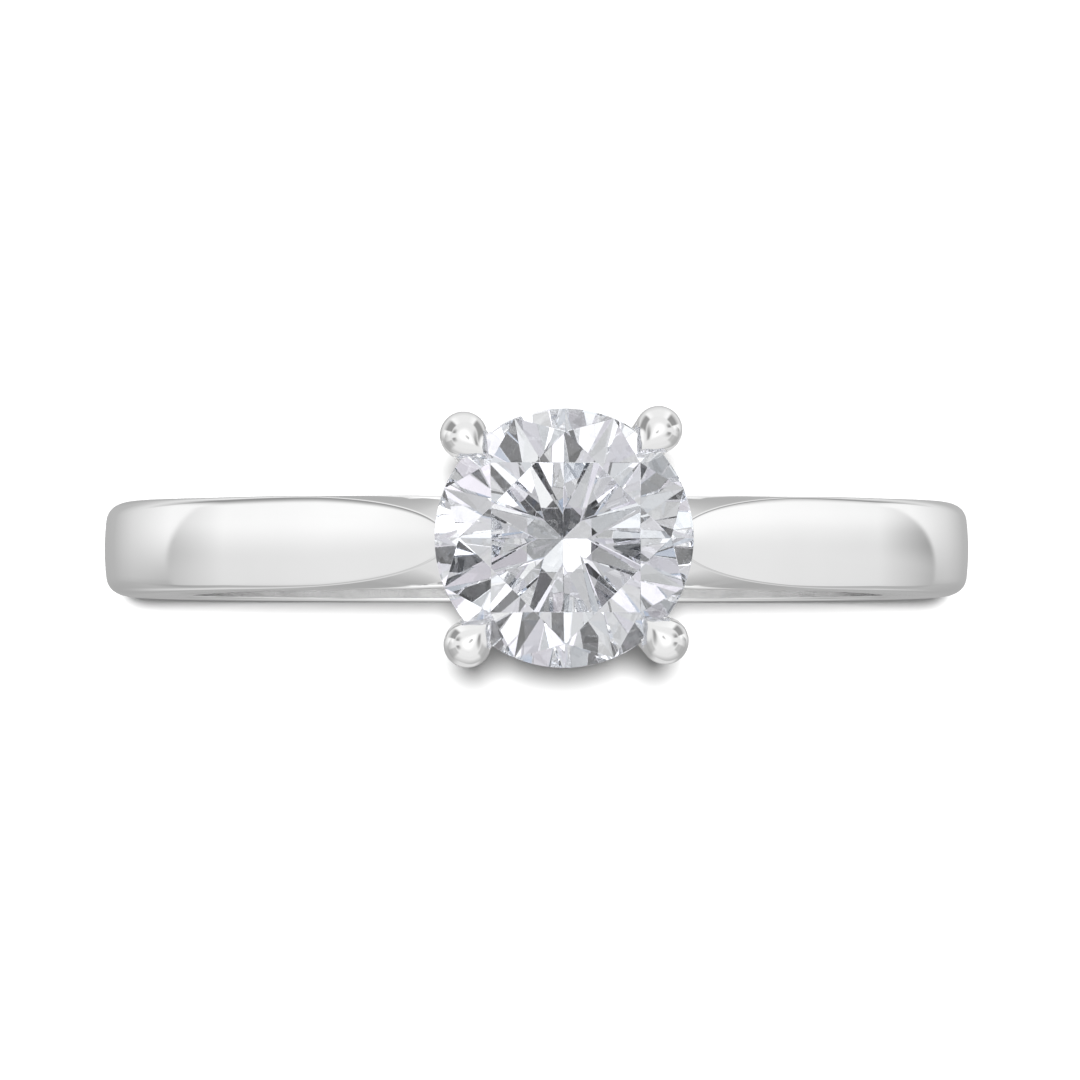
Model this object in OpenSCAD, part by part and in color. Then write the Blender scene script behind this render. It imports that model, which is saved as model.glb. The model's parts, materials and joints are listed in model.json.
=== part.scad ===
// Four-claw solitaire engagement ring with a round brilliant and upswept shoulders.
// Millimetres. The origin is the centre of the finger hole. +Y runs along the
// finger, +Z points up through the stone, and the shoulders rise along +X and -X.

/* [Finger hole and shank] */
// Inner circumference of the ring, which is its ISO 8653 size
ring_size = 52; // [50:0.5:56]
// Thickness of the shank, from the finger to the outer surface
shank_t = 1.9; // [1.7:0.05:2.1]
// Width of the shank along the finger
shank_w = 2.25; // [2.2:0.05:2.5]
// Rise of the low dome across the outer face
dome_h = 0.12; // [0.08:0.01:0.16]
// Radius of the outer edges
edge_r = 0.4; // [0.3:0.05:0.45]
// Radius of the comfort edges inside the finger hole
comfort_r = 0.06; // [0.04:0.02:0.24]

/* [Bridge and shoulders] */
// Thickness of the bridge that closes the hoop under the stone
bridge_t = 1.02; // [0.9:0.02:1.1]
// Width of the bridge at its waist, under the stone
waist_w = 2; // [1.9:0.05:2.1]
// Angle from the top of the hoop to the joint between shank and shoulder
joint_deg = 48; // [46:1:50]
// Width of a shoulder's top face where it meets the gallery
nose_w = 0.76; // [0.6:0.02:0.9]
// Width across a shoulder's flanks where it meets the gallery
flank_w = 1.7; // [1.5:0.05:1.8]
// Blunt or pointed plan of a shoulder's top face: a higher power is blunter
nose_power = 3; // [2.5:0.1:3.5]

/* [Stone] */
// Diameter of the round brilliant
stone_d = 5.8; // [5.6:0.1:6]
// Table width from corner to corner, as a share of the diameter
table_share = 0.622; // [0.56:0.002:0.64]
// Angle of the crown's kite facets
crown_deg = 34.7; // [33:0.1:36]
// Angle of the pavilion's main facets
pavilion_deg = 41; // [40:0.25:41.5]
// Girdle thickness at the main facets, as a share of the diameter
girdle_share = 0.03; // [0.025:0.001:0.04]
// Length of the star facets between table edge and girdle, as a share
star_share = 0.57; // [0.5:0.01:0.6]
// Length of the lower half facets between girdle and culet, as a share
half_share = 0.79; // [0.7:0.01:0.8]

/* [Claws and gallery] */
// Height of the turned base above the bridge
base_h = 0.45; // [0.4:0.05:0.5]
// Diameter of the turned base
base_d = 2.7; // [2.6:0.05:2.8]
// Diameter of the peg that passes through the bridge
peg_d = 1; // [0.8:0.05:1.1]
// Gap between the base and the culet
culet_gap = 0.5; // [0.4:0.05:0.6]
// Wire diameter of the lower gallery rail
lower_wire = 0.56; // [0.5:0.02:0.6]
// Wire diameter of the upper gallery rail
upper_wire = 0.6; // [0.5:0.02:0.64]
// Diameter of a claw where it stands on the base
claw_foot_d = 0.7; // [0.6:0.02:0.74]
// Greatest diameter of a claw, beside the girdle
claw_d = 1.06; // [0.96:0.02:1.1]
// Distance from the stone's axis to a claw's pointed tip
tip_reach = 2.49; // [2.4:0.01:2.55]
// Azimuth of the north-east claw: hand-set claws are a few degrees off square
claw_ne_deg = 49; // [43:0.5:50]
// Azimuth of the north-west claw
claw_nw_deg = 134.5; // [130:0.5:137]
// Azimuth of the south-west claw
claw_sw_deg = 227.5; // [223:0.5:230]
// Azimuth of the south-east claw
claw_se_deg = 314.5; // [310:0.5:317]

/* [Hidden] */
$fn = 96;

metal = "gainsboro";
gem = "aliceblue";
oversize = 4;                        // how far a cutting tool runs past its work

// Hoop
r_in = ring_size / (2 * PI);
r_out = r_in + shank_t;
r_bridge = r_in + bridge_t;
half_w = shank_w / 2;
edge_y = half_w - edge_r;            // centre of an outer edge's rounding
edge_z = r_out - dome_h - edge_r;
dome_r = (pow(edge_y, 2) + pow(dome_h, 2)) / (2 * dome_h);
waist_x = 4.6;                       // the bridge has its full width from here out
waist_r = pow(waist_x, 2) / (shank_w - waist_w);

// Stone
stone_r = stone_d / 2;
step = 360 / 8;                      // a brilliant repeats eight times
table_r = stone_r * table_share;
table_flat = table_r * cos(step / 2);
star_r = table_flat + star_share * (stone_r - table_flat);
star_h = (stone_r - star_r * cos(step / 2)) * tan(crown_deg);
crown_h = (stone_r - table_r) * tan(crown_deg);
half_r = stone_r * (1 - half_share);
half_h = (stone_r - half_r * cos(step / 2)) * tan(pavilion_deg);
// The girdle dips in the middle of each of the 16 facets that border it
border_in = stone_r * (1 - cos(step / 4)) / cos(step / 4);
crown_dip = border_in * star_h / (stone_r - star_r);
pavilion_dip = border_in * half_h / (stone_r - half_r);

// Heights
base_top = r_bridge + base_h;
culet_z = base_top + culet_gap;
girdle_low = culet_z + stone_r * tan(pavilion_deg);
girdle_high = girdle_low + girdle_share * stone_d;

// Gallery rails: radius and height of each wire's centre
lower_rail = [1.42, base_top + 0.68];
upper_rail = [2.45, girdle_low - 0.95];

// Shoulder in the XZ plane: its top edge and its underside are Bezier curves
up = [-cos(joint_deg), sin(joint_deg)];
out = [sin(joint_deg), cos(joint_deg)];
nose_top = [upper_rail[0], upper_rail[1] + upper_wire / 2];
nose_low = [upper_rail[0], upper_rail[1] - 0.7];
top_curve = [r_out * out, r_out * out + 2.4 * up, nose_top + [1.2, -1.06], nose_top];
lift_deg = 21.5;                     // the underside leaves the bridge here
lift_share = 0.6;                    // share of the shoulder's length that lies on the bridge
lift_in = r_bridge * [sin(lift_deg), cos(lift_deg)];
low_curve = [lift_in, lift_in + 0.5 * [-cos(lift_deg), sin(lift_deg)],
             nose_low + [0.1, -0.8], nose_low];
nose_x = 2.6;                        // the top face's outline would close to a point here
shoulder_steps = 24;
nose_edge = 0.1;                     // rounding of the top face's edge at the nose
edge_steps = 6;
face_steps = 4;

// Claw in its own radial plane: a straight stem, then a bend over the girdle
foot = [0.95, base_top];
bend = [2.98, girdle_low - 0.4];
tip = [tip_reach, girdle_high + 0.44];
bend_curve = [bend, bend + [0.44, 0.6], [bend[0] + 0.27, tip[1] + 0.02], tip];
stem_steps = 6;
bend_steps = 16;
claw_sides = 16;
tip_d = 0.1;
sink = 0.15;                         // a claw's sweep starts this far inside the base

function bezier(c, t) = pow(1 - t, 3) * c[0] + 3 * t * pow(1 - t, 2) * c[1]
    + 3 * pow(t, 2) * (1 - t) * c[2] + pow(t, 3) * c[3];
function unit(v) = v / norm(v);
function mix(a, b, t) = a + (b - a) * t;
function around(radius, degrees, z) = [radius * cos(degrees), radius * sin(degrees), z];

// Closes a stack of rings that have the same number of points into one solid.
module loft(rings) {
    n = len(rings[0]);
    last = len(rings) - 1;
    sides = [for (k = [0:last - 1], i = [0:n - 1])
        [k * n + i, k * n + (i + 1) % n, (k + 1) * n + (i + 1) % n, (k + 1) * n + i]];
    start = [for (i = [0:n - 1]) n - 1 - i];
    end = [for (i = [0:n - 1]) last * n + i];
    polyhedron([for (ring = rings) for (p = ring) p], concat(sides, [start, end]), 10);
}

// Turns a hoop that was revolved about Z so that its axis lies along the finger.
module along_finger() {
    rotate([90, 0, 0]) children();
}

// Cross-section of the shank: X is the radius and Y runs along the finger.
module shank_section() {
    intersection() {
        translate([r_in, -half_w]) square([shank_t, shank_w]);
        union() {
            translate([r_in + comfort_r, -half_w]) square([edge_z - r_in - comfort_r, shank_w]);
            translate([r_in, comfort_r - half_w]) square([edge_z - r_in, shank_w - 2 * comfort_r]);
            for (side = [-1, 1]) {
                translate([r_in + comfort_r, side * (half_w - comfort_r)]) circle(comfort_r);
                translate([edge_z, side * edge_y]) circle(edge_r);
            }
            intersection() {
                translate([r_in + comfort_r, -edge_y]) square([shank_t, 2 * edge_y]);
                translate([r_out - dome_r, 0]) circle(dome_r);
            }
        }
    }
}

// Cross-section of the bridge: the inner part of the shank's, with a plain outer face.
module bridge_section() {
    union() {
        translate([r_in + comfort_r, -half_w]) square([bridge_t - comfort_r, shank_w]);
        translate([r_in, comfort_r - half_w]) square([bridge_t, shank_w - 2 * comfort_r]);
        for (side = [-1, 1])
            translate([r_in + comfort_r, side * (half_w - comfort_r)]) circle(comfort_r);
    }
}

// Half of a shoulder's outline, as [y, height], from its lower edge to its top centre.
function half_outline(e, b, c, h) =
    let (corner = [e, h - dome_h],
         on_flank = corner + c * unit([b, 0] - corner),
         on_face = [e - c, h - dome_h * pow((e - c) / e, 2)])
    concat([[b, 0]],
        [for (k = [0:edge_steps]) let (t = k / edge_steps)
            pow(1 - t, 2) * on_flank + 2 * t * (1 - t) * corner + pow(t, 2) * on_face],
        [for (k = [1:face_steps]) let (y = (e - c) * (1 - k / face_steps))
            [y, h - dome_h * pow(y / e, 2)]]);

function mirrored(half) =
    concat(half, [for (k = [len(half) - 2:-1:0]) [-half[k][0], half[k][1]]]);

// Half width of the top face at distance x from the stone's axis: a bullet nose.
function face_half(x) =
    let (start_x = r_out * sin(joint_deg),
         q = max(0, (start_x - x) / (start_x - nose_x)))
    max(nose_w / 2, half_w * sqrt(max(0, 1 - pow(q, nose_power))));

// The underside lies on the bridge as far as the lift, and then sweeps up to the nose.
function low_edge(t) =
    let (a = mix(joint_deg, lift_deg, t / lift_share))
    t < lift_share ? r_bridge * [sin(a), cos(a)]
        : bezier(low_curve, (t - lift_share) / (1 - lift_share));

function shoulder_ring(t) =
    let (top = bezier(top_curve, t),
         low = low_edge(t),
         h = norm(top - low),
         e = face_half(top[0]),
         b = mix(half_w, max(e, flank_w / 2), pow(t, 3)),
         c = mix(edge_r, nose_edge, min(1, 1.6 * t)))
    [for (p = mirrored(half_outline(e, b, c, h)))
        let (q = mix(low, top, p[1] / h)) [q[0], p[0], q[1]]];

module shoulder() {
    difference() {
        loft([for (k = [0:shoulder_steps]) shoulder_ring(k / shoulder_steps)]);
        rail(upper_rail, upper_wire);
    }
}

module rail(centre, wire) {
    translate([0, 0, centre[1]])
        rotate_extrude() translate([centre[0], 0]) circle(wire / 2);
}

// Claw thickness: the stem swells to the girdle, and the bend tapers to a point.
function stem_d(t) = mix(claw_foot_d, 0.9 * claw_d, t);
function bend_d(t) = t < 0.4 ? mix(0.9, 1, sin(225 * t)) * claw_d
    : mix(tip_d, claw_d, sqrt(max(0, 1 - pow((t - 0.4) / 0.6, 2))));

// One ring of the claw: centre p and direction d in the radial plane.
function claw_ring(p, d, width) =
    let (side = [d[1], -d[0]])
    [for (k = [0:claw_sides - 1])
        let (a = 360 * k / claw_sides,
             q = p + width / 2 * cos(a) * side)
        [q[0], width / 2 * sin(a), q[1]]];

module claw(azimuth) {
    stem_way = unit(bend - foot);
    start = foot - stem_way * sink;
    rings = concat(
        [for (k = [0:stem_steps - 1]) let (t = k / stem_steps)
            claw_ring(mix(start, bend, t), stem_way, stem_d(t))],
        [for (k = [0:bend_steps]) let (t = k / bend_steps, dt = 0.01)
            claw_ring(bezier(bend_curve, t),
                      unit(bezier(bend_curve, t + dt) - bezier(bend_curve, t - dt)), bend_d(t))]);
    difference() {
        rotate([0, 0, azimuth]) loft(rings);
        translate([0, 0, base_top - oversize]) cylinder(h = oversize, r = base_d);
        rail(lower_rail, lower_wire);
        rail(upper_rail, upper_wire);
        brilliant();
    }
}

// Round brilliant: table, 8 stars, 8 kites, 16 upper halves, a scalloped girdle,
// 16 lower halves and 8 pavilion mains that meet in a pointed culet.
module brilliant() {
    halves = 4;                      // girdle points between one star and the next
    count = 8 * halves;
    table_pts = [for (i = [0:7]) around(table_r, step * (i + 0.5), girdle_high + crown_h)];
    star_pts = [for (i = [0:7]) around(star_r, step * i, girdle_high + star_h)];
    high_pts = [for (j = [0:count - 1])
        around(stone_r, step / halves * j, girdle_high - (j % 2) * crown_dip)];
    low_pts = [for (j = [0:count - 1])
        around(stone_r, step / halves * j, girdle_low + (j % 2) * pavilion_dip)];
    half_pts = [for (i = [0:7]) around(half_r, step * i, girdle_low - half_h)];
    star0 = 8;
    high0 = star0 + 8;
    low0 = high0 + count;
    half0 = low0 + count;
    culet = half0 + 8;
    points = concat(table_pts, star_pts, high_pts, low_pts, half_pts, [[0, 0, culet_z]]);
    table = [[for (i = [7:-1:0]) i]];
    stars = [for (i = [0:7]) [i, star0 + i, (i + 7) % 8]];
    kites = [for (i = [0:7])
        [i, star0 + (i + 1) % 8, high0 + halves * i + 2, star0 + i]];
    upper = [for (i = [0:7], s = [0, 2]) let (j = halves * i + s + count - 2)
        [star0 + i, high0 + (j + 2) % count, high0 + (j + 1) % count, high0 + j % count]];
    girdle = [for (j = [0:count - 1]) let (k = (j + 1) % count)
        [high0 + j, high0 + k, low0 + k, low0 + j]];
    lower = [for (i = [0:7], s = [0, 2]) let (j = halves * i + s + count - 2)
        [half0 + i, low0 + j % count, low0 + (j + 1) % count, low0 + (j + 2) % count]];
    mains = [for (i = [0:7])
        [culet, half0 + i, low0 + halves * i + 2, half0 + (i + 1) % 8]];
    polyhedron(points, concat(table, stars, kites, upper, girdle, lower, mains), 10);
}

module shank() {
    color(metal) along_finger() rotate([0, 0, 90 + joint_deg])
        rotate_extrude(angle = 360 - 2 * joint_deg) shank_section();
}

module bridge() {
    color(metal) difference() {
        along_finger() rotate([0, 0, 90 - joint_deg])
            rotate_extrude(angle = 2 * joint_deg) bridge_section();
        for (side = [-1, 1])
            translate([0, side * (waist_r + waist_w / 2), 0])
                cylinder(h = r_out, r = waist_r, $fn = 180);
        translate([0, 0, r_in / 2]) cylinder(h = r_in, r = peg_d / 2);
    }
}

module shoulder_right() {
    color(metal) shoulder();
}

module shoulder_left() {
    color(metal) mirror([1, 0, 0]) shoulder();
}

module head_base() {
    color(metal) union() {
        difference() {
            translate([0, 0, r_in]) cylinder(h = base_top - r_in, r = base_d / 2);
            along_finger() cylinder(h = base_d + oversize, r = r_bridge, center = true);
        }
        intersection() {
            translate([0, 0, r_in / 2]) cylinder(h = base_top - r_in / 2, r = peg_d / 2);
            difference() {
                translate([-peg_d, -peg_d, r_in / 2]) cube([2 * peg_d, 2 * peg_d, r_in]);
                along_finger() cylinder(h = base_d + oversize, r = r_in, center = true);
            }
        }
    }
}

module lower_gallery_rail() {
    color(metal) rail(lower_rail, lower_wire);
}

module upper_gallery_rail() {
    color(metal) rail(upper_rail, upper_wire);
}

module claw_ne() {
    color(metal) claw(claw_ne_deg);
}

module claw_nw() {
    color(metal) claw(claw_nw_deg);
}

module claw_sw() {
    color(metal) claw(claw_sw_deg);
}

module claw_se() {
    color(metal) claw(claw_se_deg);
}

module diamond() {
    color(gem, 0.6) brilliant();
}

shank();
bridge();
shoulder_left();
shoulder_right();
head_base();
lower_gallery_rail();
upper_gallery_rail();
claw_ne();
claw_nw();
claw_sw();
claw_se();
diamond();
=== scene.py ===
import json
import math

import bmesh
import bpy
import numpy as np
from mathutils import Matrix, Vector


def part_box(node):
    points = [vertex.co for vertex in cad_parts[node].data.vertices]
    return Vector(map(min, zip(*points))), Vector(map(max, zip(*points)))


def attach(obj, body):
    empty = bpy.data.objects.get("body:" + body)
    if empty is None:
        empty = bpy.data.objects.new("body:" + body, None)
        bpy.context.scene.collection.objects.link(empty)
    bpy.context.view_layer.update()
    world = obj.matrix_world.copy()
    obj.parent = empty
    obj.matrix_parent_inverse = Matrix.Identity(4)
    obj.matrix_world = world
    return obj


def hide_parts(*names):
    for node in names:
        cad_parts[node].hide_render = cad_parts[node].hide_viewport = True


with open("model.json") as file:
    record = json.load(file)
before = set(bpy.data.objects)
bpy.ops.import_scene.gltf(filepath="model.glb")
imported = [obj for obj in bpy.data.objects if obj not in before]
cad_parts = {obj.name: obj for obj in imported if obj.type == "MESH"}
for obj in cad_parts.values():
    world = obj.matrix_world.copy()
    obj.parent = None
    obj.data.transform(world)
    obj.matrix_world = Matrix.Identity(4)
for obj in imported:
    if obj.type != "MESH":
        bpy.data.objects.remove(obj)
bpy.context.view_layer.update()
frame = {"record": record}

# A four-claw solitaire ring in polished platinum with a round brilliant.
# Everything is in metres in the CAD's frame: Y runs along the finger hole, Z points up
# through the stone, and the origin is the centre of the finger hole.
MM = 0.001

# ---------------------------------------------------------------- sizes from the frame
shank_lo, shank_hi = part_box("shank")
_, bridge_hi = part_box("bridge")
_, shoulder_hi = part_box("shoulder_right")
_, base_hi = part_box("head_base")
stone_lo, stone_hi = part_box("diamond")

R_IN = frame["record"]["mounts"][0]["dims"]["r_mm"] * MM
R_OUT = shank_hi.x
HALF_W = shank_hi.y
R_BRIDGE = bridge_hi.z
FLOOR_Z = shank_lo.z
JOINT = math.asin(shoulder_hi.x / R_OUT)      # where the shoulders start, from the top
BASE_R = base_hi.x
BASE_TOP = base_hi.z
STONE_R = stone_hi.x
CULET_Z = stone_lo.z
TABLE_Z = stone_hi.z


def rail_of(node):
    """Radius and height of a gallery rail's wire centre, and the wire's radius."""
    lo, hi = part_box(node)
    wire = (hi.z - lo.z) / 2
    return hi.x - wire, (lo.z + hi.z) / 2, wire


LOWER_RAIL = rail_of("lower_gallery_rail")
UPPER_RAIL = rail_of("upper_gallery_rail")

# ---------------------------------------------------------------- small helpers
SHARP = math.radians(32)      # an edge that turns further than this stays sharp
WELD = 1e-7                   # points closer than this are one point
CUT_WELD = 4e-7               # the same after a boolean cut, which leaves slivers
SUPPORT = 0.01 * MM           # a point this far from a rounding keeps the face beside it flat


def mix(a, b, t):
    return a + (b - a) * t


def smooth(t):
    """Smooth step from 0 to 1."""
    t = min(1.0, max(0.0, t))
    return t * t * (3 - 2 * t)


def bezier(c, t):
    """Point of a cubic curve with the four control points c."""
    c = [np.array(p, float) for p in c]
    return ((1 - t) ** 3 * c[0] + 3 * t * (1 - t) ** 2 * c[1]
            + 3 * t * t * (1 - t) * c[2] + t ** 3 * c[3])


def unit(v):
    return v / np.linalg.norm(v)


def quarter_turn(across, up, radius, steps, first=0.0):
    """Points of a rounded corner about a centre, over a quarter turn from angle first."""
    turns = [first + math.pi / 2 * k / steps for k in range(steps + 1)]
    return [(across + radius * math.cos(a), up + radius * math.sin(a)) for a in turns]


def mark_sharp(bm, limit):
    for edge in bm.edges:
        if len(edge.link_faces) == 2:
            edge.smooth = edge.calc_face_angle(0.0) < limit


def finish_mesh(name, bm, sharp=SHARP, flat=False):
    """Welds, orients and shades a bmesh, and returns it as an object."""
    bmesh.ops.remove_doubles(bm, verts=bm.verts, dist=WELD)
    bmesh.ops.recalc_face_normals(bm, faces=bm.faces)
    for face in bm.faces:
        face.smooth = not flat
    mark_sharp(bm, sharp)
    mesh = bpy.data.meshes.new(name)
    bm.to_mesh(mesh)
    bm.free()
    piece = bpy.data.objects.new(name, mesh)
    bpy.context.scene.collection.objects.link(piece)
    return piece


def loft(name, rings, closed=False):
    """Skins a stack of rings. closed joins the last ring to the first, or both get caps."""
    bm = bmesh.new()
    rows = [[bm.verts.new(p) for p in ring] for ring in rings]
    count = len(rows[0])
    pairs = list(zip(rows, rows[1:]))
    if closed:
        pairs.append((rows[-1], rows[0]))
    for a, b in pairs:
        for i in range(count):
            j = (i + 1) % count
            bm.faces.new((a[i], a[j], b[j], b[i]))
    if not closed:
        bm.faces.new(rows[0])
        bm.faces.new(rows[-1])
    return finish_mesh(name, bm)


def lathe(name, profile, sides, shape=None):
    """Turns a profile of (radius, height) about Z. shape may move each point off the axis."""
    bm = bmesh.new()
    rows = []
    for r, z in profile:
        if r == 0.0:
            rows.append([bm.verts.new((0, 0, z))])
            continue
        row = []
        for k in range(sides):
            a = 2 * math.pi * k / sides
            p = (r * math.cos(a), r * math.sin(a), z)
            row.append(bm.verts.new(shape(p) if shape else p))
        rows.append(row)
    for a, b in zip(rows, rows[1:]):
        for k in range(sides):
            j = (k + 1) % sides
            corners = [a[k % len(a)], a[j % len(a)], b[j % len(b)], b[k % len(b)]]
            bm.faces.new(list(dict.fromkeys(corners)))
    return finish_mesh(name, bm)


def carve(piece, tools):
    """Cuts the tools out of the piece for good."""
    for tool in tools:
        cut = piece.modifiers.new("cut", "BOOLEAN")
        cut.operation = "DIFFERENCE"
        cut.solver = "EXACT"
        cut.object = tool
    graph = bpy.context.evaluated_depsgraph_get()
    mesh = bpy.data.meshes.new_from_object(piece.evaluated_get(graph))
    piece.modifiers.clear()
    piece.data = mesh
    bm = bmesh.new()
    bm.from_mesh(mesh)
    bmesh.ops.remove_doubles(bm, verts=bm.verts, dist=CUT_WELD)
    bmesh.ops.dissolve_degenerate(bm, edges=bm.edges, dist=WELD)
    mark_sharp(bm, SHARP)
    bm.to_mesh(mesh)
    bm.free()


# ---------------------------------------------------------------- hoop
DOME = 0.11 * MM             # rise of the hoop's outer face
COMFORT = 0.06 * MM          # rounding of the bore's edges
SIDE_EDGE = 0.43 * MM        # rounding of the outer edges down the sides of the hoop
JOINT_EDGE = 0.11 * MM       # and where the shoulder starts
NOSE_EDGE = 0.038 * MM       # and at the shoulder's nose
JOINT_HALF = HALF_W * 0.945  # half width where the shoulder starts
BASE_HALF = HALF_W * 0.968   # and at the bottom of the hoop
FLANK_REACH = 1.9            # the rounding reaches further down the flank than over the face
FLANK_LIMIT = 0.88           # but never past this share of the flank
# extra points that keep the flank and the bore flat, as shares of each
FLANK_STOPS = (0.33, 0.67, 0.92, 0.985)
BORE_STOPS = (0.0, 0.5, 0.9)
# points round each part of the outline, and sections round the hoop
COMFORT_STEPS = 6
EDGE_STEPS = 10
FACE_STEPS = 8
SHANK_STEPS = 528


def bore_outline(half):
    """Half of the bore's outline as (y, radius): the flat, then the comfort edge."""
    flat = half - COMFORT
    points = [(flat * t, R_IN) for t in BORE_STOPS] + [(flat - SUPPORT, R_IN)]
    return points + quarter_turn(flat, R_IN + COMFORT, COMFORT, COMFORT_STEPS, -math.pi / 2)


def outer_outline(half, foot, edge, height, dome):
    """Half of an outer outline as (y, height): foot, flank, rounded edge and domed face."""
    corner = np.array((half, height - dome))
    low = np.array((foot, 0.0))
    reach = min(FLANK_REACH * edge, FLANK_LIMIT * np.linalg.norm(low - corner))
    on_flank = corner + reach * unit(low - corner)
    flat = half - edge
    on_face = np.array((flat, height - dome * (flat / half) ** 2))
    points = [low] + [mix(low, on_flank, t) for t in FLANK_STOPS]
    for k in range(EDGE_STEPS + 1):
        t = k / EDGE_STEPS
        points.append((1 - t) ** 2 * on_flank + 2 * t * (1 - t) * corner + t * t * on_face)
    for k in range(1, FACE_STEPS + 1):
        y = flat * (1 - k / FACE_STEPS)
        points.append((y, height - dome * (y / half) ** 2))
    return points


def hoop_ring(half_outline, theta):
    """Mirrors half an outline of (y, radius) and turns it to an angle from the top."""
    outline = half_outline + [(-y, r) for y, r in half_outline[-2:0:-1]]
    return [(r * math.sin(theta), y, r * math.cos(theta)) for y, r in outline]


def shank_shape(theta):
    """Half width and edge rounding of the hoop at an angle from its top."""
    fold = min(theta, 2 * math.pi - theta)
    up = smooth((fold - JOINT) / (math.pi / 2 - JOINT))
    down = smooth((fold - math.pi / 2) / (math.pi / 2))
    half = mix(mix(JOINT_HALF, HALF_W, up), BASE_HALF, down)
    return half, mix(JOINT_EDGE, SIDE_EDGE, up)


def shank_ring(theta):
    half, edge = shank_shape(theta)
    outer = outer_outline(half, half, edge, R_OUT - R_BRIDGE, DOME)
    return hoop_ring(bore_outline(half) + [(y, R_BRIDGE + h) for y, h in outer], theta)


def make_shank():
    turns = [mix(JOINT, 2 * math.pi - JOINT, k / SHANK_STEPS) for k in range(SHANK_STEPS + 1)]
    return loft("shank_polished", [shank_ring(t) for t in turns])


# ---------------------------------------------------------------- shoulders
NOSE_HALF = 0.38 * MM
FLANK_HALF = 0.85 * MM       # least half width of the flank's foot
NOSE_CLOSE = 2.6 * MM        # the top face's outline would close to a point here
NOSE_DEPTH = 0.7 * MM        # the nose reaches this far below the upper rail's centre
EDGE_FADE = 2.5              # the edge sharpens over the first 1 / EDGE_FADE of the length
LIFT = math.radians(21.5)    # the shoulder's underside leaves the bridge here
LIFT_SHARE = 0.6             # after this share of its length
# handles of the side view's curves: where the underside leaves the bridge, where the top
# leaves the hoop, and at the nose's top and underside
LIFT_PULL = 0.5 * MM
JOINT_PULL = 2.4 * MM
TOP_PULL = np.array((1.2, -1.06)) * MM
LOW_PULL = np.array((0.1, -0.8)) * MM
SHOULDER_STEPS = 110

NOSE_X, NOSE_Z, NOSE_WIRE = UPPER_RAIL
NOSE_TOP = np.array((NOSE_X, NOSE_Z + NOSE_WIRE))
NOSE_LOW = np.array((NOSE_X, NOSE_Z - NOSE_DEPTH))
JOINT_OUT = np.array((math.sin(JOINT), math.cos(JOINT)))
JOINT_UP = np.array((-math.cos(JOINT), math.sin(JOINT)))
LIFT_AT = R_BRIDGE * np.array((math.sin(LIFT), math.cos(LIFT)))
LIFT_UP = np.array((-math.cos(LIFT), math.sin(LIFT)))
TOP_CURVE = (R_OUT * JOINT_OUT, R_OUT * JOINT_OUT + JOINT_PULL * JOINT_UP,
             NOSE_TOP + TOP_PULL, NOSE_TOP)
LOW_CURVE = (LIFT_AT, LIFT_AT + LIFT_PULL * LIFT_UP, NOSE_LOW + LOW_PULL, NOSE_LOW)


def low_edge(t):
    """The shoulder's underside in side view: along the bridge, then up to the nose."""
    if t < LIFT_SHARE:
        a = mix(JOINT, LIFT, t / LIFT_SHARE)
        return R_BRIDGE * np.array((math.sin(a), math.cos(a)))
    return bezier(LOW_CURVE, (t - LIFT_SHARE) / (1 - LIFT_SHARE))


def face_half(x):
    """Half width of a shoulder's top face: a bullet nose in plan."""
    start = R_OUT * math.sin(JOINT)
    q = max(0.0, (start - x) / (start - NOSE_CLOSE))
    return max(NOSE_HALF, JOINT_HALF * math.sqrt(max(0.0, 1 - q ** 3)))


def rail_reach(y, z):
    """How far out the upper rail's surface is at this height and offset."""
    radius, height, wire = UPPER_RAIL
    rise = abs(z - height)
    if rise >= wire:
        return 0.0
    out = radius + math.sqrt(wire * wire - rise * rise)
    return math.sqrt(max(0.0, out * out - y * y))


def shoulder_ring(t, side):
    """Section of a shoulder at a share t of its length, kept out of the rail's wire."""
    top, low = bezier(TOP_CURVE, t), low_edge(t)
    height = np.linalg.norm(top - low)
    half = face_half(top[0])
    foot = mix(JOINT_HALF, max(half, FLANK_HALF), t ** 3)
    edge = mix(JOINT_EDGE, NOSE_EDGE, min(1.0, EDGE_FADE * t))
    outline = outer_outline(half, foot, edge, height, DOME * half / JOINT_HALF)
    ring = []
    for y, rise in outline + [(-y, h) for y, h in outline[-2::-1]]:
        x, z = mix(low, top, rise / height)
        ring.append((side * max(x, rail_reach(y, z)), y, z))
    return ring


def make_shoulder(name, side):
    """side is 1 for the right shoulder and -1 for the left one."""
    return loft(name, [shoulder_ring(k / SHOULDER_STEPS, side)
                       for k in range(SHOULDER_STEPS + 1)])


# ---------------------------------------------------------------- bridge, base and rails
WAIST_HALF = 1.0 * MM        # half width of the bridge under the middle of the head
WAIST_X = 4.6 * MM           # the bridge is back to the hoop's width here
BRIDGE_EDGE = 0.05 * MM
BRIDGE_EDGE_STEPS = 4
BRIDGE_STEPS = 220
PEG_R = 0.5 * MM
PEG_SIDES = 96
PEG_RING = 0.6               # a ring of points on the peg's end, so that it can bend
BASE_BEVEL = 0.06 * MM
BASE_BEVEL_STEPS = 8
BASE_SIDES = 160
BASE_RINGS = 6
WIRE_SIDES = 40
RAIL_SIDES = 256
MANDREL = 0.86               # the mandrel flattens the inside of a rail's wire to this share


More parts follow.
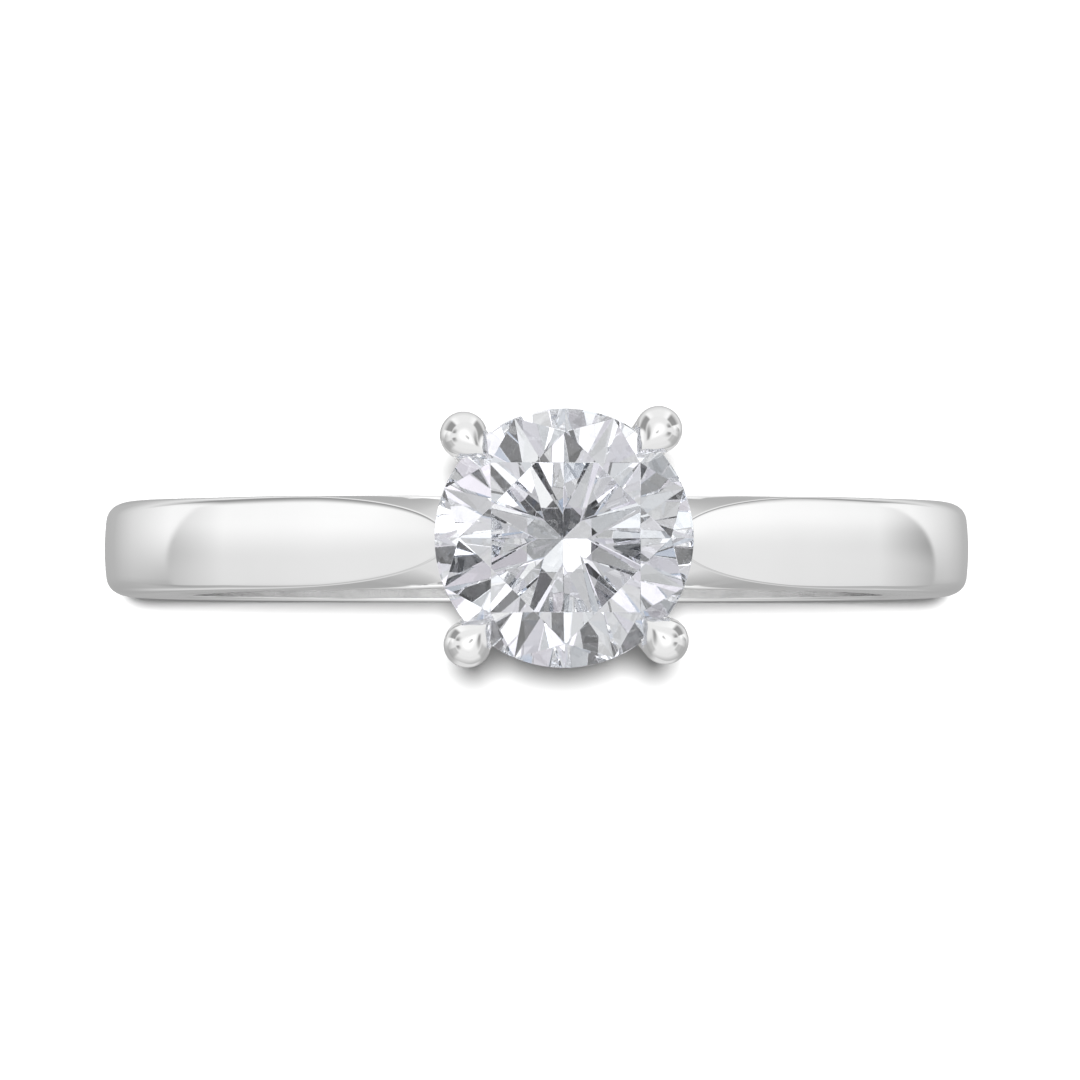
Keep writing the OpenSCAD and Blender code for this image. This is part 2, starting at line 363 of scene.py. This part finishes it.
def bridge_ring(theta):
    x = R_BRIDGE * math.sin(theta)
    half = min(mix(WAIST_HALF, HALF_W, min(1.0, (x / WAIST_X) ** 2)), JOINT_HALF)
    flat = half - BRIDGE_EDGE
    points = bore_outline(half)
    points += quarter_turn(flat, R_BRIDGE - BRIDGE_EDGE, BRIDGE_EDGE, BRIDGE_EDGE_STEPS)
    points += [(y, R_BRIDGE) for y in (flat - SUPPORT, half * 0.5, 0.0)]
    return hoop_ring(points, theta)


def make_bridge():
    """The arc under the head, narrow at its waist and drilled for the peg."""
    turns = [mix(-JOINT, JOINT, k / BRIDGE_STEPS) for k in range(BRIDGE_STEPS + 1)]
    bridge = loft("bridge_polished", [bridge_ring(t) for t in turns])
    drill = lathe("drill", [(0.0, R_IN - MM), (PEG_R, R_IN - MM),
                            (PEG_R, R_BRIDGE + MM), (0.0, R_BRIDGE + MM)], PEG_SIDES)
    carve(bridge, [drill])
    bpy.data.objects.remove(drill)
    return bridge


def saddle(p):
    """Bends the peg's end onto the finger hole and the disc's underside onto the bridge."""
    x, y, z = p
    if z <= R_IN:
        return x, y, math.sqrt(R_IN ** 2 - x * x)
    if z <= R_BRIDGE:
        return x, y, math.sqrt(R_BRIDGE ** 2 - x * x)
    return p


def make_head_base():
    """Turned disc with a peg under it."""
    profile = [(r, R_IN) for r in (0.0, SUPPORT, PEG_R * PEG_RING, PEG_R)]
    profile += [(mix(PEG_R, BASE_R, k / BASE_RINGS), R_BRIDGE) for k in range(BASE_RINGS + 1)]
    profile += quarter_turn(BASE_R - BASE_BEVEL, BASE_TOP - BASE_BEVEL, BASE_BEVEL,
                            BASE_BEVEL_STEPS)
    profile.append((0.0, BASE_TOP))
    return lathe("head_base_turned", profile, BASE_SIDES, saddle)


def make_rail(name, rail):
    """Drawn wire bent into a ring: slightly flattened inside by the mandrel."""
    radius, height, wire = rail
    rings = []
    for k in range(RAIL_SIDES):
        a = 2 * math.pi * k / RAIL_SIDES
        ring = []
        for j in range(WIRE_SIDES):
            b = 2 * math.pi * j / WIRE_SIDES
            out = wire * math.cos(b)
            if out < 0:
                out *= MANDREL
            r = radius + out
            ring.append((r * math.cos(a), r * math.sin(a), height + wire * math.sin(b)))
        rings.append(ring)
    return loft(name, rings, closed=True)


# ---------------------------------------------------------------- diamond
# Round brilliant: the same proportions as the CAD stone
TABLE_SHARE = 0.622          # table across its corners, of the stone's diameter
STAR_SHARE = 0.57            # the stars' reach from the table toward the girdle
HALF_SHARE = 0.79            # the lower halves' reach from the girdle toward the culet
CROWN = math.radians(34.7)
PAVILION = math.radians(41)
GIRDLE_LOW = CULET_Z + STONE_R * math.tan(PAVILION)
GIRDLE_HIGH = TABLE_Z - STONE_R * (1 - TABLE_SHARE) * math.tan(CROWN)
FACET_RIDGE = 0.005 * MM     # a facet stops this far from its neighbour, for the ridge
LEAST_RIDGE = math.radians(3)                # flatter junctions have no ridge
GIRDLE_BAND = 0.02 * MM      # and neither have edges this near the girdle
FACET_SHARP = math.radians(0.5)
EIGHTH = math.radians(45)
STONE_SIDES = 128
PLANE_WELD = 1e-9            # a point this near a facet's plane lies on it
FACET_WELD = 2e-7            # points closer than this after the cuts are one point


def facet_planes():
    """Azimuth, radius, height and tilt of every facet's plane, and 1 up or -1 down."""
    table_r = STONE_R * TABLE_SHARE
    table_flat = table_r * math.cos(EIGHTH / 2)
    star_r = table_flat + STAR_SHARE * (STONE_R - table_flat)
    star_h = (STONE_R - star_r * math.cos(EIGHTH / 2)) * math.tan(CROWN)
    crown_h = (STONE_R - table_r) * math.tan(CROWN)
    half_r = STONE_R * (1 - HALF_SHARE)
    half_h = (STONE_R - half_r * math.cos(EIGHTH / 2)) * math.tan(PAVILION)
    near = STONE_R * math.cos(EIGHTH / 4)
    star = math.atan((crown_h - star_h) / (star_r - table_flat))
    upper = math.atan(star_h / ((STONE_R - star_r) * math.cos(EIGHTH / 4)))
    lower = math.atan(half_h / ((STONE_R - half_r) * math.cos(EIGHTH / 4)))
    planes = []
    for k in range(8):
        planes.append((EIGHTH * k, table_flat, GIRDLE_HIGH + crown_h, star, 1))
        planes.append((EIGHTH * (k + 0.5), STONE_R, GIRDLE_HIGH, CROWN, 1))
        planes.append((EIGHTH * (k + 0.5), STONE_R, GIRDLE_LOW, PAVILION, -1))
        for side in (-0.25, 0.25):
            planes.append((EIGHTH * (k + side), near, GIRDLE_HIGH, upper, 1))
            planes.append((EIGHTH * (k + side), near, GIRDLE_LOW, lower, -1))
    return planes


def cut_facet(bm, azimuth, radius, height, tilt, way):
    """Slices one facet off the rough stone and closes the cut."""
    normal = Vector((math.cos(azimuth) * math.sin(tilt),
                     math.sin(azimuth) * math.sin(tilt), way * math.cos(tilt)))
    point = Vector((radius * math.cos(azimuth), radius * math.sin(azimuth), height))
    sliced = bmesh.ops.bisect_plane(
        bm, geom=bm.verts[:] + bm.edges[:] + bm.faces[:], dist=PLANE_WELD,
        plane_co=point, plane_no=normal, clear_outer=True)
    edges = [g for g in sliced["geom_cut"] if isinstance(g, bmesh.types.BMEdge)]
    if edges:
        bmesh.ops.contextual_create(bm, geom=edges)


def off_girdle(edge):
    """True if an edge leads away from the girdle."""
    return max(abs(v.co.xy.length - STONE_R) for v in edge.verts) > GIRDLE_BAND


def cut_stone(name):
    """Cuts a round brilliant from a fine cylinder, facet by facet."""
    bm = bmesh.new()
    rows = []
    for z in (CULET_Z, TABLE_Z):
        turns = [2 * math.pi * k / STONE_SIDES for k in range(STONE_SIDES)]
        rows.append([bm.verts.new((STONE_R * math.cos(a), STONE_R * math.sin(a), z))
                     for a in turns])
    for k in range(STONE_SIDES):
        j = (k + 1) % STONE_SIDES
        bm.faces.new((rows[0][k], rows[0][j], rows[1][j], rows[1][k]))
    bm.faces.new(rows[0])
    bm.faces.new(rows[1])
    for plane in facet_planes():
        cut_facet(bm, *plane)
    bmesh.ops.remove_doubles(bm, verts=bm.verts, dist=FACET_WELD)
    # the polish leaves a ridge a few microns wide along every junction between facets
    ridges = [e for e in bm.edges if len(e.link_faces) == 2
              and e.calc_face_angle(0.0) > LEAST_RIDGE and off_girdle(e)]
    bmesh.ops.bevel(bm, geom=ridges, offset=FACET_RIDGE, segments=1, affect="EDGES")
    return finish_mesh(name, bm, sharp=FACET_SHARP, flat=True)


# ---------------------------------------------------------------- claws
CLAWS = {"claw_ne": 49.0, "claw_nw": 134.5, "claw_sw": 227.5, "claw_se": 314.5}   # azimuths
CLAW_HALF = 0.53 * MM        # half thickness at the bearing
FOOT_HALF = 0.35 * MM
TIP_HALF = 0.03 * MM
STEM_SHARE = 0.9             # the top of the stem, as a share of CLAW_HALF
# places in a claw's side view: distance from the stone's axis, and height
FOOT = np.array((0.95 * MM, BASE_TOP))
BEND = np.array((2.98 * MM, GIRDLE_LOW - 0.4 * MM))
TIP = np.array((2.49 * MM, GIRDLE_HIGH + 0.44 * MM))
BEND_PULL = np.array((0.44, 0.6)) * MM
OVER_BEND = np.array((BEND[0] + 0.27 * MM, TIP[1] + 0.02 * MM))
BEND_CURVE = (BEND, BEND + BEND_PULL, OVER_BEND, TIP)
SWELL_END = 0.4              # the claw swells over this share of the bend, then tapers
TAPER_LATE = 2.1             # exponents: how late the taper comes, and how round the tip is
TIP_ROUND = 0.85
RIDGE_START = 0.3            # the ridge starts at this share of the taper
RIDGE_RATE = 1.6             # and has its full peak 1 / RIDGE_RATE of the taper later
RIDGE_FLANKS = 1.25          # exponent: 1 has straight flanks, 2 nearly round ones
CLAW_SIDES = 48
STEM_STEPS = 24
BEND_STEPS = 56
STRIDE = 0.004               # the bend's direction is taken this far to either side


def claw_ring(point, way, half, peak):
    """Section across the claw: round, with its outside peaked to a ridge near the tip."""
    out = np.array((way[1], -way[0]))
    ring = []
    for k in range(CLAW_SIDES):
        a = 2 * math.pi * k / CLAW_SIDES
        across, outward = math.sin(a), math.cos(a)
        if outward > 0:
            outward = mix(outward, 1 - abs(across) ** RIDGE_FLANKS, peak)
        x, z = point + half * outward * out
        ring.append((x, half * across, z))
    return ring


def bend_size(t):
    """Half thickness of the claw and the peak of its ridge, at a share t of the bend."""
    if t < SWELL_END:
        swell = math.sin(math.pi / 2 * t / SWELL_END)
        return mix(STEM_SHARE, 1.0, swell) * CLAW_HALF, 0.0
    q = (t - SWELL_END) / (1 - SWELL_END)
    half = mix(TIP_HALF, CLAW_HALF, (1 - q ** TAPER_LATE) ** TIP_ROUND)
    return half, smooth((q - RIDGE_START) * RIDGE_RATE)


def make_claw(name, azimuth, tools):
    """Straight stem from the base, then a bend over the girdle to a pointed tip."""
    way = unit(BEND - FOOT)
    rings = []
    for k in range(STEM_STEPS):
        t = k / STEM_STEPS
        half = mix(FOOT_HALF, STEM_SHARE * CLAW_HALF, t)
        rings.append(claw_ring(FOOT + (BEND - FOOT) * t, way, half, 0.0))
    rings[0] = [(x, y, BASE_TOP) for x, y, z in rings[0]]
    for k in range(BEND_STEPS + 1):
        t = k / BEND_STEPS
        way = unit(bezier(BEND_CURVE, t + STRIDE) - bezier(BEND_CURVE, t - STRIDE))
        rings.append(claw_ring(bezier(BEND_CURVE, t), way, *bend_size(t)))
    claw = loft(name, rings)
    claw.data.transform(Matrix.Rotation(math.radians(azimuth), 4, "Z"))
    carve(claw, tools)
    return claw


# ---------------------------------------------------------------- shader nodes
class Nodes:
    """Short way to chain nodes in one node tree."""

    def __init__(self, tree):
        self.tree = tree

    def add(self, kind, **settings):
        node = self.tree.nodes.new(kind)
        for key, value in settings.items():
            setattr(node, key, value)
        return node

    def feed(self, socket, value):
        """Sets a number or vector on the socket, or links an output to it."""
        if isinstance(value, (int, float, tuple)):
            socket.default_value = value
        else:
            self.tree.links.new(value, socket)

    def math(self, operation, *values):
        node = self.add("ShaderNodeMath", operation=operation)
        for socket, value in zip(node.inputs, values):
            self.feed(socket, value)
        return node.outputs[0]

    def plus(self, a, b):
        return self.math("ADD", a, b)

    def times(self, first, *others):
        for other in others:
            first = self.math("MULTIPLY", first, other)
        return first

    def mix(self, share, low, high):
        """low + share * (high - low)"""
        return self.plus(low, self.times(share, self.math("SUBTRACT", high, low)))

    def ramp(self, value, span, out, curve="LINEAR"):
        """Clamped map of a value from the span (lo, hi) to out (at lo, at hi)."""
        node = self.add("ShaderNodeMapRange", interpolation_type=curve)
        for key, item in (("Value", value), ("From Min", span[0]), ("From Max", span[1]),
                          ("To Min", out[0]), ("To Max", out[1])):
            self.feed(node.inputs[key], item)
        return node.outputs[0]

    def soft(self, value, span, out):
        return self.ramp(value, span, out, "SMOOTHSTEP")

    def band(self, value, rise, fall, peak):
        """0 below the rise, peak between the two spans, and 0 above the fall."""
        return self.times(self.soft(value, rise, (0.0, peak)),
                          self.soft(value, fall, (1.0, 0.0)))

    def noise(self, place, scale, detail=2.0):
        node = self.add("ShaderNodeTexNoise")
        self.feed(node.inputs["Vector"], place)
        self.feed(node.inputs["Scale"], scale)
        self.feed(node.inputs["Detail"], detail)
        return node.outputs["Fac"]

    def colours(self, value, stops):
        """Colour ramp through two or more stops of (position, (red, green, blue))."""
        node = self.add("ShaderNodeValToRGB")
        self.feed(node.inputs["Fac"], value)
        elements = node.color_ramp.elements
        for element, (position, colour) in zip(elements, (stops[0], stops[-1])):
            element.position = position
            element.color = (*colour, 1)
        for position, colour in stops[1:-1]:
            elements.new(position).color = (*colour, 1)
        return node.outputs["Color"]


# ---------------------------------------------------------------- materials
HAIRLINE_SCALE = (900, 6000, 900)        # per metre: the hairlines run round the hoop
HAIRLINE_DETAIL = 3.0
HAIRLINE_SPAN = (0.3, 0.7)               # of the noise
POLISH_ROUGHNESS = (0.05, 0.09)
HAIRLINE_HEIGHT = 0.15e-6
HAIRLINE_STRENGTH = 0.12
BUFF_SCALE = 700.0
METAL_TONES = ((0, (0.86, 0.86, 0.86)), (1, (0.90, 0.90, 0.90)))
DIAMOND_IOR = 2.417
GEM_SCALE = 400.0
GEM_TONES = ((0, (0.985, 0.99, 1.0)), (1, (1.0, 1.0, 1.0)))


def new_material(name):
    mat = bpy.data.materials.new(name)
    mat.use_nodes = True
    return mat


def platinum(name):
    """Polished platinum: fine polishing hairlines and faint clouds of tone."""
    mat = new_material(name)
    n = Nodes(mat.node_tree)
    shader = mat.node_tree.nodes["Principled BSDF"]
    shader.inputs["Metallic"].default_value = 1.0
    coords = n.add("ShaderNodeTexCoord").outputs["Object"]
    stretch = n.add("ShaderNodeMapping")
    n.feed(stretch.inputs["Vector"], coords)
    n.feed(stretch.inputs["Scale"], HAIRLINE_SCALE)
    hairlines = n.noise(stretch.outputs["Vector"], 1.0, HAIRLINE_DETAIL)
    n.feed(shader.inputs["Roughness"], n.ramp(hairlines, HAIRLINE_SPAN, POLISH_ROUGHNESS))
    bump = n.add("ShaderNodeBump")
    n.feed(bump.inputs["Strength"], HAIRLINE_STRENGTH)
    n.feed(bump.inputs["Distance"], HAIRLINE_HEIGHT)
    n.feed(bump.inputs["Height"], hairlines)
    n.feed(shader.inputs["Normal"], bump.outputs["Normal"])
    n.feed(shader.inputs["Base Color"], n.colours(n.noise(coords, BUFF_SCALE), METAL_TONES))
    return mat


def diamond_glass(name):
    """Clear glass with the refractive index of diamond and a trace of cold colour."""
    mat = new_material(name)
    n = Nodes(mat.node_tree)
    mat.node_tree.nodes.clear()
    glass = n.add("ShaderNodeBsdfGlass")
    n.feed(glass.inputs["IOR"], DIAMOND_IOR)
    n.feed(glass.inputs["Roughness"], 0.0)
    cloud = n.noise(n.add("ShaderNodeTexCoord").outputs["Object"], GEM_SCALE)
    n.feed(glass.inputs["Color"], n.colours(cloud, GEM_TONES))
    out = n.add("ShaderNodeOutputMaterial")
    n.feed(out.inputs["Surface"], glass.outputs["BSDF"])
    return mat


def matte(name, tone):
    mat = new_material(name)
    shader = mat.node_tree.nodes["Principled BSDF"]
    shader.inputs["Base Color"].default_value = (tone, tone, tone, 1)
    shader.inputs["Roughness"].default_value = 1.0
    shader.inputs["Specular IOR Level"].default_value = 0.0
    return mat


# ---------------------------------------------------------------- build the ring
METAL = platinum("platinum_polished")
GEM = diamond_glass("diamond_clear")


def mount(piece, node, material):
    """Gives a piece its material and lets it stand for its CAD node."""
    piece.data.materials.clear()
    piece.data.materials.append(material)
    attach(piece, "root")
    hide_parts(node)


stone = cut_stone("round_brilliant")
lower_rail = make_rail("lower_rail_wire", LOWER_RAIL)
upper_rail = make_rail("upper_rail_wire", UPPER_RAIL)
head_base = make_head_base()
mount(make_shank(), "shank", METAL)
mount(make_bridge(), "bridge", METAL)
mount(make_shoulder("shoulder_right_swept", 1), "shoulder_right", METAL)
mount(make_shoulder("shoulder_left_swept", -1), "shoulder_left", METAL)
for node, azimuth in CLAWS.items():
    claw = make_claw(node + "_wire", azimuth, [lower_rail, upper_rail, stone])
    mount(claw, node, METAL)
mount(head_base, "head_base", METAL)
mount(lower_rail, "lower_gallery_rail", METAL)
mount(upper_rail, "upper_gallery_rail", METAL)
mount(stone, "diamond", GEM)

# ---------------------------------------------------------------- floor
FLOOR_HALF = 1.5
FLOOR_TONE = 0.8
FLOOR_CELLS = 8


def make_floor():
    """Plain white floor under the hoop, seen by the camera but not mirrored in the ring."""
    bm = bmesh.new()
    bmesh.ops.create_grid(bm, x_segments=FLOOR_CELLS, y_segments=FLOOR_CELLS, size=FLOOR_HALF)
    bmesh.ops.translate(bm, vec=(0, 0, FLOOR_Z), verts=bm.verts)
    floor = finish_mesh("floor", bm)
    floor.data.materials.append(matte("floor_white", FLOOR_TONE))
    floor.visible_glossy = False
    floor.visible_transmission = False


make_floor()

# ---------------------------------------------------------------- studio
# A soft tent round the ring. Directions are in degrees: zenith is 0 overhead, 90 level and
# 180 below; side is 0 due east or west, 90 north and -90 south. Y is the share that a
# direction points north, from -1 to 1. A pair is where a soft step starts and where it ends.
FILL = 0.32                   # soft light on the floor from the whole tent
METAL_LIGHT = 0.82 / 0.88     # white of the tent, to read 0.82 in metal of tone 0.88
DEEP_GAIN = 1.9               # light kept by rays that bounce many times inside the hoop
DEEP_BOUNCES = (2, 8)
KEY_ENERGY = 4.2
KEY_WIDTH = math.radians(2.2)
KEY_TURN = (math.radians(-0.5), math.radians(-2.75), 0)
EAST_X = (-0.3, 0.3)          # from the west side's values below to the east side's

# walls near the level: the first three pairs are the west side's value and the east side's
TABLE_EDGE = (119, 131)       # the walls stand on the table here
WALL_FALL = (92, 97)          # they darken from here down to the table
WALL_FOOT = (0.66, 0.54)      # and have this tone there
WALL_NORTH_Y = (-0.10, 0.15)
WALL_SOUTH = 0.96
WALL_LIT = (80, 91)
WALL_NORTH = (0.98, 1.2)

# table: bright in the north, shaded by the ring close in, bright again right under it
TABLE_SPAN = (140, 172)
TABLE_TONE = (0.54, 0.44)
TABLE_NORTH_Y = (-0.20, 0.12)
NORTH_SPAN = (118, 157)
NORTH_TONE = (0.60, 0.08)
NORTH_SIDE = (50, 75)
NORTH_CORNER = 0.55
ENDS_SPAN = (152, 168)
SOUTH_END = ((-70, -45), 0.34)
NORTH_END = ((45, 70), 0.16)
BOW_START = -0.1              # north of this Y the table's edge bows up
BOW = (120, 240)              # this strongly, in the west and in the east
EDGE_BLUR = (-2, 2)

# dark uprights at the corners of the tent, and a soft seam due east and west
NORTH_POST = ((15, 20), (46, 56), 0.68)
SOUTH_POST = ((-50, -40), (-22, -15), 0.35)
POST_FADE = (108, 136)
SEAM_SIDE = (1, 3)            # where it is, in the west and in the east
SEAM_WIDTH = (1, 8)
SEAM_SPAN = (92, 129)
SEAM_DEPTH = (0.03, 0.37)
SEAM_SHARE = (0.5, 1.0)       # its strength, in the west and in the east

# overhead: the lens in a big round diffuser, and dark gaps beside that, east and west
HORIZON = (74, 83)            # the walls take over from what is overhead
LENS = (5, 24)
LENS_TONE = 0.62              # as the metal sees it
LENS_MIRRORED = 0.15          # as the facets mirror it, sharply
FACET_SHARE = 0.75            # the facets mirror this share of the tent
DIFFUSER = ((12, 24), (34, 58), 0.35)
GAP_SPAN = ((52, 64), (68, 80), 0.75)
GAP_SIDE = ((8, 16), (18, 44), 1.0)
GAP_TONE = 0.15

# What the light that leaves through the stone's facets meets overhead: cards and flags in
# rings. A ring has its zenith, how many hang in it, the azimuth of the first, their radius
# and the changes of tone that they take in turn. The ring at 42 degrees has one for each of
# the eight pavilion mains, which look across the culet to the far side: the two flags in the
# south make the heart at twelve o'clock, and the two cards in the north-west make the bright
# quadrant at five o'clock.
CARD_RINGS = (
    (18, 4, 90, 7, (0.4, -0.5, -0.5, -0.5)),
    (28, 8, 22.5, 7, (0.5, -0.6)),
    (42, 8, 22.5, 10, (-0.2, 0.4, 1.0, 1.0, 0.1, -0.8, -0.8, -0.15)),
    (60, 8, 0, 9, (1.3, -0.5)),
    (76, 5, 136, 16, (1.2, -0.8)),
)
CARD_CORE = 0.7               # a card has its full tone over this share of its radius
CARD_GAIN = 1.25
CEILING = 0.66                # tone between the cards
CARD_WALL = 0.85              # share of the walls' tone that the stone shows
CARD_FLOOR = 0.03             # no flag is darker than this
# the cut splits the light, so its reflections are faintly coloured
TINT_SCALE = 3.2
TINTS = ((0.30, (0.74, 0.86, 1.08)), (0.40, (0.95, 0.99, 1.03)), (0.50, (1.0, 1.0, 0.99)),
         (0.60, (0.97, 0.95, 1.03)), (0.70, (1.03, 0.97, 1.04)))


class Sky(Nodes):
    """World nodes, with the direction that a ray looks in and the kind of ray."""

    def __init__(self, tree):
        super().__init__(tree)
        self.way = self.add("ShaderNodeTexCoord").outputs["Generated"]
        axes = self.add("ShaderNodeSeparateXYZ")
        self.feed(axes.inputs[0], self.way)
        x, self.y, z = axes.outputs
        self.zenith = self.math("DEGREES", self.math("ARCCOSINE", z))
        self.side = self.math("DEGREES", self.math("ARCTAN2", self.y, self.math("ABSOLUTE", x)))
        self.east = self.soft(x, EAST_X, (0.0, 1.0))
        self.ray = self.add("ShaderNodeLightPath").outputs

    def by_side(self, pair):
        """The pair's first value in the west and its second in the east."""
        return self.mix(self.east, *pair)


def tent_walls(sky, edge_at):
    fall = sky.ramp(sky.zenith, (sky.by_side(WALL_FALL), edge_at), (1.0, sky.by_side(WALL_FOOT)))
    north = sky.soft(sky.y, WALL_NORTH_Y, (0.0, 1.0))
    lit = sky.ramp(sky.zenith, WALL_LIT, WALL_NORTH)
    return sky.times(fall, sky.mix(north, WALL_SOUTH, lit))


def tent_table(sky):
    """The table under the ring, with its bright north and its bright ends."""
    north = sky.times(sky.soft(sky.y, TABLE_NORTH_Y, (0.0, 1.0)),
                      sky.ramp(sky.zenith, NORTH_SPAN, NORTH_TONE),
                      sky.soft(sky.side, NORTH_SIDE, (1.0, NORTH_CORNER)))
    south_end = sky.soft(sky.side, SOUTH_END[0], (SOUTH_END[1], 0.0))
    north_end = sky.soft(sky.side, NORTH_END[0], (0.0, NORTH_END[1]))
    ends = sky.times(sky.plus(south_end, north_end), sky.ramp(sky.zenith, ENDS_SPAN, (1.0, 0.0)))
    return sky.plus(sky.plus(sky.ramp(sky.zenith, TABLE_SPAN, TABLE_TONE), north), ends)


def tent_below(sky):
    """Walls, table, posts and seam: everything under the horizon."""
    edge_at = sky.by_side(TABLE_EDGE)
    past = sky.math("MAXIMUM", sky.math("SUBTRACT", sky.y, BOW_START), 0.0)
    edge = sky.math("SUBTRACT", edge_at, sky.times(past, past, sky.by_side(BOW)))
    under = sky.soft(sky.math("SUBTRACT", sky.zenith, edge), EDGE_BLUR, (0.0, 1.0))
    tone = sky.mix(under, tent_walls(sky, edge_at), tent_table(sky))
    posts = sky.times(sky.plus(sky.band(sky.side, *NORTH_POST), sky.band(sky.side, *SOUTH_POST)),
                      sky.ramp(sky.zenith, POST_FADE, (1.0, 0.0)))
    off_seam = sky.math("ABSOLUTE", sky.math("SUBTRACT", sky.side, sky.by_side(SEAM_SIDE)))
    seam = sky.times(sky.soft(off_seam, SEAM_WIDTH, (1.0, 0.0)),
                     sky.ramp(sky.zenith, SEAM_SPAN, SEAM_DEPTH),
                     sky.math("SUBTRACT", 1.0, under), sky.by_side(SEAM_SHARE))
    lit = sky.math("SUBTRACT", sky.math("SUBTRACT", 1.0, posts), seam)
    return sky.times(tone, lit)


def tent_overhead(sky):
    """Lens, diffuser and gaps, as the metal and the faces of the facets mirror them."""
    lens = sky.mix(sky.ray["Is Singular Ray"], LENS_TONE, LENS_MIRRORED)
    round_lens = sky.plus(sky.soft(sky.zenith, LENS, (lens, 1.0)),
                          sky.band(sky.zenith, *DIFFUSER))
    away = sky.math("ABSOLUTE", sky.side)
    gap = sky.times(sky.band(sky.zenith, *GAP_SPAN), sky.band(away, *GAP_SIDE))
    return sky.mix(gap, round_lens, GAP_TONE)


def card_places():
    """Heading, radius and change of tone of every card and flag."""
    for zenith, count, first, radius, changes in CARD_RINGS:
        for k in range(count):
            azimuth = math.radians(first + 360 * k / count)
            lean = math.radians(zenith)
            heading = (math.sin(lean) * math.cos(azimuth),
                       math.sin(lean) * math.sin(azimuth), math.cos(lean))
            yield heading, radius, changes[k % len(changes)]


def stone_cards(sky, horizon, below):
    """The cards and flags, as the light that leaves the stone meets them."""
    tone = sky.mix(horizon, CEILING, sky.times(below, CARD_WALL))
    for heading, radius, change in card_places():
        near = sky.add("ShaderNodeVectorMath", operation="DOT_PRODUCT")
        sky.feed(near.inputs[0], sky.way)
        sky.feed(near.inputs[1], heading)
        span = (math.cos(math.radians(radius)), math.cos(math.radians(radius * CARD_CORE)))
        card = sky.soft(near.outputs["Value"], span, (0.0, CARD_GAIN * change))
        tone = sky.plus(tone, card)
    return sky.math("MAXIMUM", tone, CARD_FLOOR)


def background(sky, colour, strength):
    node = sky.add("ShaderNodeBackground")
    sky.feed(node.inputs["Color"], colour)
    sky.feed(node.inputs["Strength"], strength)
    return node.outputs[0]


def studio_world():
    """White for the camera, soft fill for the floor, and the tent for metal and stone."""
    world = bpy.data.worlds.new("studio")
    world.use_nodes = True
    world.node_tree.nodes.clear()
    sky = Sky(world.node_tree)
    horizon = sky.soft(sky.zenith, HORIZON, (0.0, 1.0))
    below = tent_below(sky)
    through_stone = sky.ray["Is Transmission Ray"]
    light = sky.times(
        sky.ramp(sky.ray["Glossy Depth"], DEEP_BOUNCES, (METAL_LIGHT, METAL_LIGHT * DEEP_GAIN)),
        sky.mix(sky.ray["Is Singular Ray"], 1.0, FACET_SHARE))
    mirrored = sky.times(sky.mix(horizon, tent_overhead(sky), below), light)
    tone = sky.mix(through_stone, mirrored, stone_cards(sky, horizon, below))

    tint = sky.add("ShaderNodeMix", data_type="RGBA")
    share, white, tinted = tint.inputs[0], tint.inputs[6], tint.inputs[7]
    sky.feed(share, through_stone)
    sky.feed(white, (1, 1, 1, 1))
    sky.feed(tinted, sky.colours(sky.noise(sky.way, TINT_SCALE, 1.0), TINTS))

    choose = sky.add("ShaderNodeMixShader")
    plain_ray = sky.math("MAXIMUM", sky.ray["Is Camera Ray"], sky.ray["Is Diffuse Ray"])
    fill = sky.mix(sky.ray["Is Diffuse Ray"], 1.0, FILL)
    sky.feed(choose.inputs[0], plain_ray)
    sky.feed(choose.inputs[1], background(sky, tint.outputs[2], tone))
    sky.feed(choose.inputs[2], background(sky, (1, 1, 1, 1), fill))
    out = sky.add("ShaderNodeOutputWorld")
    sky.feed(out.inputs["Surface"], choose.outputs[0])
    bpy.context.scene.world = world


def key_light():
    """Soft overhead key: lights only the floor, for the shadow under the ring."""
    key = bpy.data.objects.new("key", bpy.data.lights.new("key", "SUN"))
    key.data.energy = KEY_ENERGY
    key.data.angle = KEY_WIDTH
    key.rotation_euler = KEY_TURN
    key.visible_glossy = False
    key.visible_transmission = False
    bpy.context.scene.collection.objects.link(key)


studio_world()
key_light()

# ---------------------------------------------------------------- camera
CAMERA_DISTANCE = 0.250
FOCAL_LENGTH = 353.517                        # millimetres, as is the sensor
SENSOR_WIDTH = 36.0
LEAN_WEST = math.radians(2.75)                # the camera leans a little off the vertical
LEAN_SOUTH = math.radians(1.15)
AIM = Vector((0.0825, 0.2272, 0.0)) * MM      # the middle of the picture
NORTH = Vector((0, 1, 0))

camera = bpy.data.objects.new("camera", bpy.data.cameras.new("camera"))
bpy.context.scene.collection.objects.link(camera)
bpy.context.scene.camera = camera
camera.data.sensor_width = SENSOR_WIDTH
camera.data.lens = FOCAL_LENGTH
camera.data.clip_start = 0.01
camera.data.clip_end = 10.0
camera.location = Vector((-math.sin(LEAN_WEST), -math.sin(LEAN_SOUTH),
                          math.cos(LEAN_WEST) * math.cos(LEAN_SOUTH))) * CAMERA_DISTANCE
back = (camera.location - AIM).normalized()
right = NORTH.cross(back).normalized()
camera.rotation_mode = "QUATERNION"
turned = Matrix((right, back.cross(right), back)).transposed()
camera.rotation_quaternion = turned.to_quaternion()

scene = bpy.context.scene
scene.view_settings.view_transform = "Standard"
scene.cycles.max_bounces = 40
scene.cycles.glossy_bounces = 32
scene.cycles.transmission_bounces = 40
scene.cycles.caustics_reflective = False
scene.cycles.caustics_refractive = False
